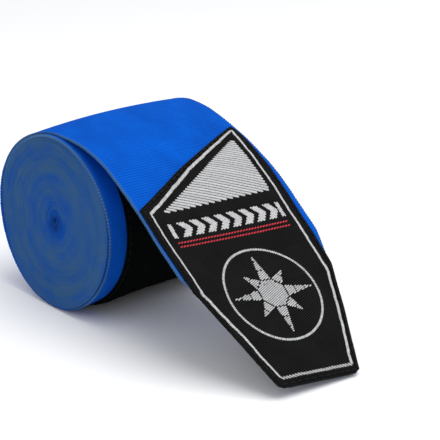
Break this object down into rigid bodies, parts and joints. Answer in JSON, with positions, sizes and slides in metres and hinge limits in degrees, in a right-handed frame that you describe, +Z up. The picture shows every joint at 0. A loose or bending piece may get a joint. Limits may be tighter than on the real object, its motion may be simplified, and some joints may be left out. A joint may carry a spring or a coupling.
{
  "type": "hand wrap",
  "caption": "Rolled boxing hand wrap lying on its side, with its tapered label and hook closing tab pulled off the top.",
  "frame": {"origin": "on the surface that the roll rests on, in the middle of the flat under the roll, half-way along the roll's axis", "axes": "+X from the roll towards the closing tab, +Y along the roll's axis, +Z up"},
  "size_m": [0.1138, 0.0508, 0.0523],
  "materials": {
    "band_weave": "matte ribbed stretch weave, royal blue",
    "loop_tape": "matte woven tape, royal blue",
    "pile_tape": "fuzzy black loop pile",
    "hook_tape": "black moulded hooks on a woven backing",
    "label_weave": "black satin twill with silver and red woven threads",
    "stitch_thread": "black spun polyester thread"
  },
  "bodies": {
    "roll": {"band_roll": "band_weave", "thumb_loop": "loop_tape", "thumb_loop_bartack": "stitch_thread", "loop_panel": "pile_tape", "loop_panel_stitching": "stitch_thread"},
    "tail_upper": {"band_upper": "band_weave", "label_upper": "label_weave", "label_stitching_upper": "stitch_thread"},
    "tail_middle": {"band_middle": "band_weave", "label_middle": "label_weave", "label_stitching_middle": "stitch_thread", "hook_panel_middle": "hook_tape", "hook_stitching_middle": "stitch_thread"},
    "tail_lower": {"band_lower": "band_weave", "label_lower": "label_weave", "label_stitching_lower": "stitch_thread", "hook_panel_lower": "hook_tape", "hook_stitching_lower": "stitch_thread"},
    "tail_tip": {"band_tip": "band_weave", "label_tip": "label_weave", "label_stitching_tip": "stitch_thread", "hook_panel_tip": "hook_tape", "hook_stitching_tip": "stitch_thread"}
  },
  "joints": [
    {"name": "bend_upper", "type": "hinge", "parent": "roll", "child": "tail_upper", "pos_m": [0.0133, 0, 0.05002], "axis": [0, -1, 0], "range_deg": [-15, 100]},
    {"name": "bend_middle", "type": "hinge", "parent": "tail_upper", "child": "tail_middle", "pos_m": [0.03578, 0, 0.0404], "axis": [0, -1, 0], "range_deg": [-57, 25]},
    {"name": "bend_lower", "type": "hinge", "parent": "tail_middle", "child": "tail_lower", "pos_m": [0.05641, 0, 0.0272], "axis": [0, -1, 0], "range_deg": [-27, 25]},
    {"name": "bend_tip", "type": "hinge", "parent": "tail_lower", "child": "tail_tip", "pos_m": [0.0754, 0, 0.01175], "axis": [0, -1, 0], "range_deg": [-48, 25]}
  ]
}
